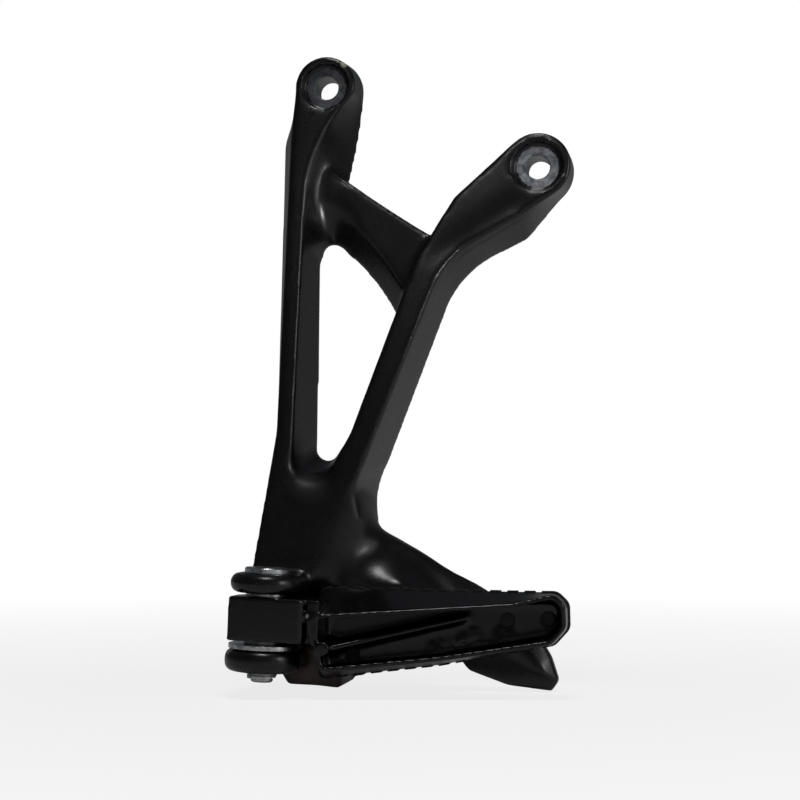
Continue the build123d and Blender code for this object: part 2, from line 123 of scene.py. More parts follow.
# Groove between the lug and the end wall of the peg, in millimetres from the hinge: corners along the peg
# and up the pin, then its depth's two limits
ROOT_GROOVE = ((16.2, 9.6), (17.6, 9.6), (17.0, 1.8), (19.0, -9.0), (16.2, -9.0))
GROOVE_DEPTH = (-12.0, -5.5)

# Bolt seats: name, centre, front face of the boss (Y) and radius of the counterbore
SEATS = (("seat_a", BOLT_A, -0.017, 0.0088), ("seat_b", BOLT_B, -0.01896, 0.0094))
SEAT_DEPTH = 0.0042
HOLE_RADIUS = 0.00446
CHAMFER_RADIUS = 0.0049
CHAMFER_DEPTH = 0.00036
# The faced skin starts below the rim, narrows down the wall, turns into the floor and ends inside the hole
RIM_DROP = 0.0010
RIM_GAP = 0.00002
WALL_GAP = 0.00008
FILLET_WIDTH = 0.00045
FILLET_HEIGHT = 0.0004
FLOOR_LIFT = 0.00004
REAR_GAP = 0.0004
SEAT_TURNS = 96
SEAT_SHARP_ANGLE = math.radians(30)

# Patches that dull the gloss and lay a brown-grey over the coat: centre (X, Y, Z), radius, and how much of
# its colour shows. The first, in the crotch, is dust that dulls the gloss. The two on the foot's face make
# it a lighter brown-grey
CASTING_DUST_AND_TONE = (
    (-0.0030, -0.0240, -0.1500, 0.0080, 0.01),
    (-0.0100, -0.0230, -0.2190, 0.0100, 0.45),
    (0.0020, -0.0230, -0.2190, 0.0100, 0.45),
)

# Bare metal: a chip on boss A and rubbed edges on the ears, then rubbed corners on the peg (X, Y, Z,
# radius)
CASTING_CHIPS = (
    (0.0074, -0.0165, 0.0084, 0.0018),
    (0.0052, -0.0168, 0.0098, 0.0010),
    (-0.0281, -0.0480, -0.2095, 0.0017),
    (-0.0246, -0.0510, -0.2115, 0.0010),
    (-0.0215, -0.0520, -0.2130, 0.0008),
    (-0.0262, -0.0470, -0.1893, 0.0010),
)
PEG_CHIPS = (
    (0.0008, -0.0512, -0.1972, 0.0009),
    (0.0905, -0.0412, -0.1905, 0.0012),
    (0.0890, -0.0410, -0.1892, 0.0008),
)

# Uneven patches on the floor of the peg's tray, where the casting was knocked (X, Y, Z, radius)
PEG_DENTS = (
    (0.0450, -0.0350, -0.2085, 0.0075),
    (0.0560, -0.0350, -0.2070, 0.0075),
    (0.0690, -0.0350, -0.2055, 0.0060),
)

# Scales of the surface patterns in forms to a metre, which is 1000 over the real size in millimetres
POWDER_GRAIN = 5000.0  # 0.2 mm. The real powder's grain is finer and wouldn't show.
KNOCKS = 240.0  # 4.2 mm
THIN_DUST = 45.0  # clouds of 22 mm
DUST_SPECKS = 330.0  # one each 3.0 mm, where any fall
DUST_DRIFTS = 90.0  # 11 mm
HANDLING = 120.0  # patches of 8.3 mm, about a fingertip
BARE_FLAKES = 1300.0  # 0.77 mm
CHIP_EDGES = 900.0  # 1.1 mm
STEEL_CLOUDS = 260.0  # 3.8 mm
GROUND_SCRATCHES = 1500.0  # 0.67 mm long. Real grinding lines are finer and wouldn't show.
PLATED_SCRATCHES = 900.0  # 1.1 mm long
SCRATCH_STRETCH = (1.0, 1.0, 9.0)  # nine times as close in height as they are long
RUBBER_CLOUDS = 140.0  # 7.1 mm
RUBBER_GRAIN = 2400.0  # 0.42 mm. The real mould's grain is finer and wouldn't show.
SEAT_CLOUDS = 420.0  # 2.4 mm
FACING_RINGS = 620.0  # 0.51 mm apart, because a wave texture turns 20 radians for each unit of its scale
PAPER_FIBRES = 60.0  # clouds of 17 mm. Single fibres wouldn't show.

# Camera of the photograph
CAMERA_PLACE = (0.13497, -0.7110, -0.1558)
CAMERA_TARGET = (0.02923, -0.020, -0.11917)
SENSOR_WIDTH = 36
CLIP_RANGE = (0.01, 50)

# Broad lamps, all aimed at one place: name, place, width and height, and the setting that gives the power
LAMP_TARGET = (0.03, -0.02, -0.11)
BROAD_LAMPS = (
    ("overhead_lamp", (0.06, -0.30, 0.75), (0.25, 0.25), "key"),
    ("side_lamp", (0.85, -0.25, 0.10), (0.5, 0.7), "side"),
    ("corner_lamp", (0.75, -0.35, 0.06), (0.12, 0.12), "corner"),
    ("low_front_lamp", (-0.02, -0.95, 0.20), (0.34, 0.34), "fill"),
    ("right_front_lamp", (0.62, -0.80, 0.08), (0.60, 0.60), "turn"),
)

# Narrow lamps: name, place, target, radius of the bulb, and the setting that gives the power
NARROW_LAMPS = (
    ("low_lamp", (0.29, -0.21, -0.20), (0.001, -0.012, -0.052), 0.02, "low"),
    ("arm_lamp", (-0.02, -0.62, 0.34), (0.056, -0.018, -0.052), 0.05, "front"),
)
CONE_ANGLE = math.radians(8)
CONE_BLEND = 0.6

# White paper under the object: how far below it, half its width, the middle of the shadow on it (X, Y), and
# the two distances from there between which the shadow fades out
FLOOR_GAP = 0.0004
FLOOR_REACH = 20
SHADOW_CENTRE = (0.03, -0.02)
SHADOW_FADE = (0.12, 0.7)

WHITE = (1, 1, 1, 1)
ROOM_TINT = (0.9, 0.93, 1.0, 1)


def srgb(code):
    """Linear RGBA of an sRGB hex colour: a straight line near black, and a power of 2.4 above it."""
    parts = [int(code[i : i + 2], 16) / 255 for i in (1, 3, 5)]
    return tuple(c / 12.92 if c <= 0.04045 else ((c + 0.055) / 1.055) ** 2.4 for c in parts) + (1.0,)


def add_node(tree, kind, settings=(), **links):
    """Adds one node and returns it. settings gives its properties, the values of its sockets, and as stops
    the positions and colours of a ramp. Each link names an input socket, or numbers it as _1 does, and
    gives the output or the value that goes in."""
    node = tree.nodes.new(kind)
    for name, value in dict(settings).items():
        if name == "stops":
            for stop, (position, colour) in zip(node.color_ramp.elements, value):
                stop.position, stop.color = position, colour
        elif name in node.inputs and not hasattr(type(node), name):
            node.inputs[name].default_value = value
        else:
            setattr(node, name, value)
    for name, source in links.items():
        numbered = name[0] == "_" and name[1:].isdigit()
        target = node.inputs[int(name[1:]) if numbered else name.replace("_", " ")]
        if isinstance(source, bpy.types.NodeSocket):
            tree.links.new(source, target)
        else:
            target.default_value = source
    return node


def new_material(name):
    """Empty node material with its output, ready for a shader."""
    material = bpy.data.materials.new(name)
    material.use_nodes = True
    material.node_tree.nodes.clear()
    output = material.node_tree.nodes.new("ShaderNodeOutputMaterial")
    return material, material.node_tree, output


def worn_spots(tree, point, places, ragged):
    """Share from 0 to 1 inside small spots: each place is (x, y, z, radius). Noise lengthens the distance
    to its centre by up to ragged times its radius, which makes its edge ragged."""
    edges = {"Scale": CHIP_EDGES, "Detail": 4.0, "Roughness": 0.7}
    noise = add_node(tree, "ShaderNodeTexNoise", edges, Vector=point)
    total = None
    for x, y, z, radius in places:
        reach = add_node(tree, "ShaderNodeVectorMath", {"operation": "DISTANCE"}, _0=point, _1=(x, y, z))
        uneven = add_node(
            tree,
            "ShaderNodeMath",
            {"operation": "MULTIPLY_ADD"},
            _0=noise.outputs["Fac"],
            _1=ragged * radius,
            _2=reach.outputs["Value"],
        )
        fade = {
            "From Min": radius * (1.0 + 0.5 * ragged),
            "From Max": radius * (0.75 + 0.5 * ragged),
            "To Min": 0.0,
            "To Max": 1.0,
        }
        share = add_node(tree, "ShaderNodeMapRange", fade, Value=uneven.outputs["Value"]).outputs["Result"]
        if total is not None:
            either = add_node(tree, "ShaderNodeMath", {"operation": "MAXIMUM"}, _0=total, _1=share)
            share = either.outputs["Value"]
        total = share
    return total


def knocked_places(tree, point, dents):
    """Height of the knocks in a casting: noise, times a share that is 1 within a fifth of a place's radius
    and fades to 0 at its radius. Where places meet, the larger share counts."""
    uneven = {"Scale": KNOCKS, "Detail": 0.0, "Distortion": 0.4}
    knocks = add_node(tree, "ShaderNodeTexNoise", uneven, Vector=point)
    total = None
    for x, y, z, radius in dents:
        reach = add_node(tree, "ShaderNodeVectorMath", {"operation": "DISTANCE"}, _0=point, _1=(x, y, z))
        fade = {
            "interpolation_type": "SMOOTHSTEP",
            "From Min": radius,
            "From Max": 0.2 * radius,
            "To Min": 0.0,
            "To Max": 1.0,
        }
        share = add_node(tree, "ShaderNodeMapRange", fade, Value=reach.outputs["Value"]).outputs["Result"]
        if total is not None:
            either = add_node(tree, "ShaderNodeMath", {"operation": "MAXIMUM"}, _0=total, _1=share)
            share = either.outputs["Value"]
        total = share
    deep = add_node(tree, "ShaderNodeMath", {"operation": "MULTIPLY"}, _0=knocks.outputs["Fac"], _1=total)
    return deep.outputs["Value"]


def dust_and_tone_patches(tree, point, places, tone):
    """Lays a brown-grey film over a colour, near each place: full within half its radius, gone at 1.2 of it.
    Gives the new colour, and the share from 0 to 1 in which the film dulls the gloss."""
    veiled = None
    for x, y, z, radius, show in places:
        reach = add_node(tree, "ShaderNodeVectorMath", {"operation": "DISTANCE"}, _0=point, _1=(x, y, z))
        fade = {
            "interpolation_type": "SMOOTHSTEP",
            "From Min": 1.2 * radius,
            "From Max": 0.5 * radius,
            "To Min": 0.0,
        }
        veil = add_node(tree, "ShaderNodeMapRange", {**fade, "To Max": 1.0}, Value=reach.outputs["Value"])
        part = add_node(tree, "ShaderNodeMapRange", {**fade, "To Max": show}, Value=reach.outputs["Value"])
        film = add_node(
            tree,
            "ShaderNodeMix",
            {"data_type": "RGBA"},
            _0=part.outputs["Result"],
            _6=tone,
            _7=srgb("#8d7f78"),
        )
        tone = film.outputs[2]
        share = veil.outputs["Result"]
        if veiled is not None:
            either = add_node(tree, "ShaderNodeMath", {"operation": "MAXIMUM"}, _0=veiled, _1=share)
            share = either.outputs["Value"]
        veiled = share
    return tone, veiled


def coat_material(
    name, colour, dust, rough, specular, peel_mm, peel_height, edge_mm, spots, bare, dents=(), settled=()
):
    """Polyester powder coat on an aluminium casting, sprayed dry and baked. It flows out to a near-black
    skin with the low waves of orange peel, so highlights break up softly. The film draws back from edges
    and rounds them, so each edge shows a fine bright line. Handling leaves patches of gloss, dust greys it
    in clouds and specks, and bare metal shows where it is chipped or rubbed through."""
    material, tree, output = new_material(name)
    point = add_node(tree, "ShaderNodeTexCoord").outputs["Object"]

    # Relief: rounded edges, orange peel with the powder's grain on it, and knocks in the casting below
    rounded = add_node(tree, "ShaderNodeBevel", {"samples": 8, "Radius": edge_mm / 1000})
    waves = {"Scale": 1000 / peel_mm, "Detail": 2.0, "Roughness": 0.5}
    peel = add_node(tree, "ShaderNodeTexNoise", waves, Vector=point)
    grain = add_node(tree, "ShaderNodeTexNoise", {"Scale": POWDER_GRAIN, "Detail": 1.0}, Vector=point)
    height = add_node(
        tree,
        "ShaderNodeMath",
        {"operation": "MULTIPLY_ADD"},
        _0=grain.outputs["Fac"],
        _1=0.35,
        _2=peel.outputs["Fac"],
    )
    if dents:
        # A knock is 45 times as deep as the waves of the coat
        height = add_node(
            tree,
            "ShaderNodeMath",
            {"operation": "MULTIPLY_ADD"},
            _0=knocked_places(tree, point, dents),
            _1=45.0,
            _2=height.outputs["Value"],
        )
    bump = add_node(
        tree,
        "ShaderNodeBump",
        {"Strength": 1.0, "Distance": peel_height},
        Height=height.outputs["Value"],
        Normal=rounded.outputs["Normal"],
    )

    # Colour: thin dust in clouds, specks in the few places where dust drifts, brown-grey patches, then bare
    # metal
    clouds = {"Scale": THIN_DUST, "Detail": 4.0, "Roughness": 0.6}
    cloud = add_node(tree, "ShaderNodeTexNoise", clouds, Vector=point)
    tones = {"stops": ((0.3, colour), (0.75, dust))}
    tone = add_node(tree, "ShaderNodeValToRGB", tones, Fac=cloud.outputs["Fac"])
    speck = add_node(tree, "ShaderNodeTexVoronoi", {"Scale": DUST_SPECKS, "Randomness": 1.0}, Vector=point)
    thin = add_node(tree, "ShaderNodeTexNoise", {"Scale": DUST_DRIFTS, "Detail": 2.0}, Vector=point)
    sparse = {"From Min": 0.56, "From Max": 0.7, "To Min": 0.0, "To Max": 0.10}
    few = add_node(tree, "ShaderNodeMapRange", sparse, Value=thin.outputs["Fac"])
    spot = add_node(
        tree,
        "ShaderNodeMath",
        {"operation": "LESS_THAN"},
        _0=speck.outputs["Distance"],
        _1=few.outputs["Result"],
    )
    dusty = add_node(
        tree,
        "ShaderNodeMix",
        {"data_type": "RGBA"},
        _0=spot.outputs["Value"],
        _6=tone.outputs["Color"],
        _7=srgb("#5a5750"),
    )
    toned, veiled = dust_and_tone_patches(tree, point, settled, dusty.outputs[2])
    chipped = worn_spots(tree, point, spots, 0.9)
    flake = add_node(tree, "ShaderNodeTexNoise", {"Scale": BARE_FLAKES, "Detail": 3.0}, Vector=point)
    metal = add_node(
        tree,
        "ShaderNodeMix",
        {"data_type": "RGBA"},
        _0=flake.outputs["Fac"],
        _6=srgb("#6d6a60"),
        _7=bare,
    )
    mixed = add_node(tree, "ShaderNodeMix", {"data_type": "RGBA"}, _0=chipped, _6=toned, _7=metal.outputs[2])

    # Gloss: patches from handling, and duller under the brown-grey patches
    patch = add_node(tree, "ShaderNodeTexNoise", {"Scale": HANDLING, "Detail": 3.0}, Vector=point)
    handled = {"From Min": 0.3, "From Max": 0.7, "To Min": rough - 0.015, "To Max": rough + 0.025}
    gloss = add_node(tree, "ShaderNodeMapRange", handled, Value=patch.outputs["Fac"])
    roughness = gloss.outputs["Result"]
    if veiled is not None:
        dulled = add_node(
            tree,
            "ShaderNodeMath",
            {"operation": "MULTIPLY_ADD"},
            _0=veiled,
            _1=0.25,
            _2=gloss.outputs["Result"],
        )
        roughness = dulled.outputs["Value"]
    shader = add_node(
        tree,
        "ShaderNodeBsdfPrincipled",
        {"Specular IOR Level": specular, "IOR": 1.5},
        Base_Color=mixed.outputs[2],
        Roughness=roughness,
        Normal=bump.outputs["Normal"],
    )
    tree.links.new(shader.outputs[0], output.inputs[0])
    return material


def steel_material(name, bright, dull, rough, scratch_scale):
    """Steel, ground bright or zinc plated. A metal reflects in its own colour, and here hands and tools
    have changed its tone and gloss in small clouds. Fine scratches lie across the pin, and broken edges
    catch the light."""
    material, tree, output = new_material(name)
    point = add_node(tree, "ShaderNodeTexCoord").outputs["Object"]
    rounded = add_node(tree, "ShaderNodeBevel", {"samples": 6, "Radius": 0.00025})
    clouds = {"Scale": STEEL_CLOUDS, "Detail": 5.0, "Roughness": 0.65}
    cloud = add_node(tree, "ShaderNodeTexNoise", clouds, Vector=point)
    tones = {"stops": ((0.35, dull), (0.62, bright))}
    tone = add_node(tree, "ShaderNodeValToRGB", tones, Fac=cloud.outputs["Fac"])
    stretch = add_node(tree, "ShaderNodeMapping", {"Scale": SCRATCH_STRETCH}, Vector=point)
    fine = {"Scale": scratch_scale, "Detail": 2.0}
    lines = add_node(tree, "ShaderNodeTexNoise", fine, Vector=stretch.outputs["Vector"])
    bump = add_node(
        tree,
        "ShaderNodeBump",
        {"Strength": 0.6, "Distance": 0.00002},
        Height=lines.outputs["Fac"],
        Normal=rounded.outputs["Normal"],
    )
    touched = {"From Min": 0.3, "From Max": 0.7, "To Min": rough - 0.06, "To Max": rough + 0.12}
    gloss = add_node(tree, "ShaderNodeMapRange", touched, Value=cloud.outputs["Fac"])
    shader = add_node(
        tree,
        "ShaderNodeBsdfPrincipled",
        {"Metallic": 1.0},
        Base_Color=tone.outputs["Color"],
        Roughness=gloss.outputs["Result"],
        Normal=bump.outputs["Normal"],
    )
    tree.links.new(shader.outputs[0], output.inputs[0])
    return material


def rubber_material(name, dark, rubbed):
    """Nitrile rubber, pressed hot in a mould. Its carbon black makes it dark, the mould's grain scatters
    the light so that it looks matt, and boots have rubbed it slightly grey in clouds."""
    material, tree, output = new_material(name)
    point = add_node(tree, "ShaderNodeTexCoord").outputs["Object"]
    rounded = add_node(tree, "ShaderNodeBevel", {"samples": 6, "Radius": 0.0005})
    clouds = {"Scale": RUBBER_CLOUDS, "Detail": 5.0, "Roughness": 0.6}
    cloud = add_node(tree, "ShaderNodeTexNoise", clouds, Vector=point)
    tones = {"stops": ((0.35, dark), (0.8, rubbed))}
    tone = add_node(tree, "ShaderNodeValToRGB", tones, Fac=cloud.outputs["Fac"])
    grain = add_node(tree, "ShaderNodeTexNoise", {"Scale": RUBBER_GRAIN, "Detail": 2.0}, Vector=point)
    bump = add_node(
        tree,
        "ShaderNodeBump",
        {"Strength": 1.0, "Distance": 0.00004},
        Height=grain.outputs["Fac"],
        Normal=rounded.outputs["Normal"],
    )
    shader = add_node(
        tree,
        "ShaderNodeBsdfPrincipled",
        {"Roughness": 0.72, "Specular IOR Level": 0.35},
        Base_Color=tone.outputs["Color"],
        Normal=bump.outputs["Normal"],
    )
    tree.links.new(shader.outputs[0], output.inputs[0])
    return material


def seat_material(name, centre, dull, bright):
    """Aluminium of a bolt seat, faced by a cutter after coating. It is bare and grey, the bolt's head has
    bruised it in small clouds, and the cutter's rings about the hole spread each highlight across them."""
    material, tree, output = new_material(name)
    point = add_node(tree, "ShaderNodeTexCoord").outputs["Object"]
    local = add_node(tree, "ShaderNodeMapping", {"Location": tuple(-c for c in centre)}, Vector=point)
    turned = {
        "wave_type": "RINGS",
        "rings_direction": "Y",
        "Scale": FACING_RINGS,
        "Distortion": 1.2,
        "Detail": 2.0,
        "Detail Scale": 3.0,
    }
    rings = add_node(tree, "ShaderNodeTexWave", turned, Vector=local.outputs["Vector"])
    clouds = {"Scale": SEAT_CLOUDS, "Detail": 5.0, "Roughness": 0.7}
    cloud = add_node(tree, "ShaderNodeTexNoise", clouds, Vector=point)
    tones = {"stops": ((0.32, dull), (0.68, bright))}
    tone = add_node(tree, "ShaderNodeValToRGB", tones, Fac=cloud.outputs["Fac"])
    relief = {"Strength": 0.5, "Distance": 0.00003}
    bump = add_node(tree, "ShaderNodeBump", relief, Height=rings.outputs["Fac"])
    shader = add_node(
        tree,
        "ShaderNodeBsdfPrincipled",
        {"Metallic": 1.0, "Roughness": 0.48},
        Base_Color=tone.outputs["Color"],
        Normal=bump.outputs["Normal"],
    )
    tree.links.new(shader.outputs[0], output.inputs[0])
    return material


def paper_material(name, floor_z):
    """White paper, matt and faintly clouded by its fibres. To the camera it glows as evenly as an
    overexposed sheet, and only near the object does part of its real shade show, as a soft shadow. In
    gloss, only the paper behind the object is bright."""
    material, tree, output = new_material(name)
    point = add_node(tree, "ShaderNodeTexCoord").outputs["Object"]
    path = add_node(tree, "ShaderNodeLightPath")
    seen = add_node(
        tree,
        "ShaderNodeMath",
        {"operation": "MAXIMUM"},
        _0=path.outputs["Is Camera Ray"],
        _1=path.outputs["Is Transmission Ray"],
    )
    place = add_node(tree, "ShaderNodeSeparateXYZ", {}, Vector=point)
    under = (*SHADOW_CENTRE, floor_z)
    away = add_node(tree, "ShaderNodeVectorMath", {"operation": "DISTANCE"}, _0=point, _1=under)
    shadow = {"From Min": SHADOW_FADE[0], "From Max": SHADOW_FADE[1], "To Min": 0.8, "To Max": 1.0}
    far = add_node(tree, "ShaderNodeMapRange", shadow, Value=away.outputs["Value"])
    back = {"From Min": -0.1, "From Max": 0.5, "To Min": 0.0, "To Max": 0.25}
    behind = add_node(tree, "ShaderNodeMapRange", back, Value=place.outputs["Y"])
    straight = add_node(
        tree,
        "ShaderNodeMath",
        {"operation": "MULTIPLY"},
        _0=seen.outputs["Value"],
        _1=far.outputs["Result"],
    )
    mirrored = add_node(
        tree,
        "ShaderNodeMath",
        {"operation": "MULTIPLY"},
        _0=path.outputs["Is Glossy Ray"],
        _1=behind.outputs["Result"],
    )
    share = add_node(
        tree,
        "ShaderNodeMath",
        {"operation": "MAXIMUM"},
        _0=straight.outputs["Value"],
        _1=mirrored.outputs["Value"],
    )
    fibre = add_node(tree, "ShaderNodeTexNoise", {"Scale": PAPER_FIBRES, "Detail": 3.0}, Vector=point)
    pale = add_node(tree, "ShaderNodeMapRange", {"To Min": 0.86, "To Max": 0.9}, Value=fibre.outputs["Fac"])
    matt = add_node(tree, "ShaderNodeBsdfDiffuse", {}, Color=pale.outputs["Result"])
    glow = add_node(tree, "ShaderNodeEmission", {"Color": WHITE, "Strength": 1.0})
    both = add_node(
        tree,
        "ShaderNodeMixShader",
        {},
        _0=share.outputs["Value"],
        _1=matt.outputs[0],
        _2=glow.outputs[0],
    )
    tree.links.new(both.outputs[0], output.inputs[0])
    return material


def studio_world(strength, mirrored_most):
    """Surroundings of the photograph: white to the camera, a dim even room to every matt surface, and in
    gloss a part of the white paper, only behind the object and near its own height."""
    world = bpy.data.worlds.new("studio")
    world.use_nodes = True
    tree = world.node_tree
    tree.nodes.clear()
    output = tree.nodes.new("ShaderNodeOutputWorld")
    path = add_node(tree, "ShaderNodeLightPath")
    direction = add_node(tree, "ShaderNodeTexCoord").outputs["Generated"]
    heading = add_node(tree, "ShaderNodeSeparateXYZ", {}, Vector=direction)
    back = {
        "interpolation_type": "SMOOTHSTEP",
        "From Min": 0.4,
        "From Max": 0.95,
        "To Min": 0.0,
        "To Max": mirrored_most,
    }
    behind = add_node(tree, "ShaderNodeMapRange", back, Value=heading.outputs["Y"])
    height = add_node(tree, "ShaderNodeMath", {"operation": "ABSOLUTE"}, _0=heading.outputs["Z"])
    near = {"From Min": 0.45, "From Max": 0.2, "To Min": 0.0, "To Max": 1.0}
    level = add_node(tree, "ShaderNodeMapRange", near, Value=height.outputs["Value"])
    band = add_node(
        tree,
        "ShaderNodeMath",
        {"operation": "MULTIPLY"},
        _0=behind.outputs["Result"],
        _1=level.outputs["Result"],
    )
    mirrored = add_node(
        tree,
        "ShaderNodeMath",
        {"operation": "MULTIPLY"},
        _0=path.outputs["Is Glossy Ray"],
        _1=band.outputs["Value"],
    )
    straight = add_node(
        tree,
        "ShaderNodeMath",
        {"operation": "MAXIMUM"},
        _0=path.outputs["Is Camera Ray"],
        _1=path.outputs["Is Transmission Ray"],
    )
    seen = add_node(
        tree,
        "ShaderNodeMath",
        {"operation": "MAXIMUM"},
        _0=straight.outputs["Value"],
        _1=mirrored.outputs["Value"],
    )
    dim = add_node(tree, "ShaderNodeBackground", {"Color": ROOM_TINT, "Strength": strength})
    white = add_node(tree, "ShaderNodeBackground", {"Color": WHITE, "Strength": 1.0})
    both = add_node(
        tree,
        "ShaderNodeMixShader",
        {},
        _0=seen.outputs["Value"],
        _1=dim.outputs[0],
        _2=white.outputs[0],
    )
    tree.links.new(both.outputs[0], output.inputs[0])
    return world


def finish_object(name, vertices, faces, material, body):
    """Puts arrays of vertices (in the frame of the solids) and faces into a new mesh object that rides on a
    body."""
    mesh = bpy.data.meshes.new(name)
    mesh.from_pydata(np.asarray(vertices, float), [], [list(map(int, face)) for face in faces])
    mesh.validate()
    mesh.materials.append(material)
    piece = bpy.data.objects.new(name, mesh)
    bpy.context.scene.collection.objects.link(piece)
    mesh.polygons.foreach_set("use_smooth", np.ones(len(mesh.polygons), bool))
    mesh.set_sharp_from_angle(angle=SEAT_SHARP_ANGLE)
    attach(piece, body)
    return piece


def read_rows(collection, name, width, kind):
    """One value of all of a mesh's vertices or edges, as an array with a row for each."""
    values = np.empty(len(collection) * width, kind)
    collection.foreach_get(name, values)
    return values.reshape(-1, width)


def write_points(mesh, points):
    """Moves the vertices of a mesh to an array of points."""
    mesh.vertices.foreach_set("co", points.astype(np.float32).ravel())
    mesh.update()


def applied_mesh(piece):
    """Mesh of an object with its modifiers applied. It takes them off the object."""
    bpy.context.view_layer.update()
    mesh = bpy.data.meshes.new_from_object(piece.evaluated_get(bpy.context.evaluated_depsgraph_get()))
    piece.modifiers.clear()
    return mesh


def laplacian_pass(co, edges, share, concave, convex, normals):
    """One smoothing step: each vertex moves towards the mean of its neighbours, by its share times the rate
    for hollows where that is outward, and by its share times the rate for edges where it is inward."""
    first, second = edges[:, 0], edges[:, 1]
    count = np.maximum(np.bincount(edges.ravel(), minlength=len(co)), 1).astype(float)
    total = np.empty_like(co)
    for k in range(3):
        total[:, k] = np.bincount(first, co[second, k], len(co)) + np.bincount(second, co[first, k], len(co))
    step = np.where(total.any(1)[:, None], total / count[:, None] - co, 0.0)
    outward = np.einsum("ij,ij->i", step, normals)
    rate = np.where(outward > 0, concave, convex) * share
    return co + step * rate[:, None]


def cast_skin(node, name, voxel, passes, concave, convex, target, hold, blends=(), shape=None, cutter=None):
    """Soft skin of a casting: the solid's copy is remeshed at one voxel size, then its hollows are filled
    and its edges rounded by repeated averaging of neighbours. hold(points) gives the share of movement that
    each point keeps. Each of blends is (centre, radius, passes): more averaging near one place, by a share
    that falls off as the exponential of minus the fourth power of distance over radius. shape(points) gives
    a movement between the two, cutter is a closed solid that is taken out of the copy first, and target is
    the most triangles kept."""
    mesh = frame["nodes"][node].data.copy()
    piece = bpy.data.objects.new(name, mesh)
    bpy.context.scene.collection.objects.link(piece)
    welded = bmesh.new()
    welded.from_mesh(mesh)
    bmesh.ops.remove_doubles(welded, verts=welded.verts, dist=1e-6)
    welded.to_mesh(mesh)
    welded.free()
    if cutter is not None:
        cut = piece.modifiers.new("cut", "BOOLEAN")
        cut.operation = "DIFFERENCE"
        cut.solver = "EXACT"
        cut.object = cutter
    remesh = piece.modifiers.new("voxels", "REMESH")
    remesh.mode = "VOXEL"
    remesh.voxel_size = voxel
    shaped = applied_mesh(piece)
    co = read_rows(shaped.vertices, "co", 3, np.float32).astype(float)
    edges = read_rows(shaped.edges, "vertices", 2, np.int32)
    share = hold(co)
    for turn in range(passes):
        if turn % NORMALS_EVERY == 0:
            write_points(shaped, co)
            normals = read_rows(shaped.vertices, "normal", 3, np.float32).astype(float)
        co = laplacian_pass(co, edges, share, concave, convex, normals)
    if shape is not None:
        co = co + shape(co)
    for centre, radius, more in blends:
        near = np.exp(-((np.linalg.norm(co - np.array(centre), axis=1) / radius) ** 4))
        inner = edges[near[edges].min(1) > 0.01]
        for _ in range(more):
            co = laplacian_pass(co, inner, share * near, SOFT_RATE, SOFT_RATE, normals)
    write_points(shaped, co)
    piece.data = shaped
    shaped.name = name
    triangles = sum(len(face.vertices) - 2 for face in shaped.polygons)
    if triangles > target:
        thin = piece.modifiers.new("thin", "DECIMATE")
        thin.ratio = target / triangles
        piece.data = applied_mesh(piece)
        piece.data.name = name
    piece.data.polygons.foreach_set("use_smooth", np.ones(len(piece.data.polygons), bool))
    return piece


def from_axis(points, centre, axis):
    """Distance of each point from a line, and its height along it."""
    away = points - centre
    along = away @ axis
    return np.linalg.norm(away - along[:, None] * axis, axis=1), along


def ramp(value, low, high):
    """0 below low, 1 above high, and between them three times the square of the share less twice its
    cube."""
    share = np.clip((value - low) / (high - low), 0, 1)
    return share * share * (3 - 2 * share)


def hold_casting(points):
    """Share of movement on the hanger: a product of ramps, each 0 at a place that was machined and 1 away
    from it. The bolt seats, the pin's bore, the stop wall behind the lug and the rear pads keep the solid's
    shape."""
    share = np.ones(len(points))
    for bolt in (BOLT_A, BOLT_B):
        radius, _ = from_axis(points, bolt, DEPTH_AXIS)
        share *= ramp(radius, *SEAT_HOLD)
    radius, along = from_axis(points, HINGE, PIN_AXIS)
    share *= ramp(radius, *BORE_HOLD)
    clevis = (1 - ramp(radius, *STOP_REACH)) * (1 - ramp(np.abs(along), *STOP_HEIGHT))
    share *= 1 - clevis * ramp(points[:, 1], *STOP_DEPTH)
    share *= ramp(-points[:, 1], *PAD_HOLD)
    return share


def hold_peg(points):
    """Share of movement on the peg: 0 in the pin's bore and 1 away from it."""
    radius, _ = from_axis(points, HINGE, PIN_AXIS)
    return ramp(radius, *PEG_BORE_HOLD)


def dish_move(points):
    """Movement to the rear that sinks the dish in arm B: its depth, times a bell curve of the distance from
    its middle line, times ramps that fade it at both ends, on the front of the casting alone."""
    length = np.linalg.norm(DISH_END - DISH_START)
    line = (DISH_END - DISH_START) / length
    away = points[:, (0, 2)] - DISH_START
    along = away @ line
    across = away @ np.array((-line[1], line[0]))
    end = 1 - ramp(along, length - DISH_FADE_OUT, length + DISH_FADE_OUT)
    deep = np.exp(-((across / DISH_WIDTH) ** 2)) * ramp(along, *DISH_FADE_IN) * end
    return DISH_DEPTH * deep * (1 - ramp(points[:, 1], *DISH_FRONT))


def shelf_move(points):
    """Movement to the front that brings the wing out behind the folded peg: the way to the shelf's plane,
    where a point lies behind it, times ramps across the shelf, from the front of the wing, and down from
    its start."""
    across = ramp(points[:, 0], *SHELF_FADE_IN) * (1 - ramp(points[:, 0], *SHELF_FADE_OUT))
    out = across * ramp(-points[:, 1], *SHELF_FRONT) * ramp(-points[:, 2], *SHELF_DROP)
    return out * np.minimum(SHELF_OUT - points[:, 1], 0)


def shape_casting(points):
    """Last movement of the hanger's skin, all of it along Y: the dish in arm B plus the shelf of the
    wing."""
    move = np.zeros_like(points)
    move[:, 1] = dish_move(points)
    move[:, 1] += shelf_move(points)
    return move


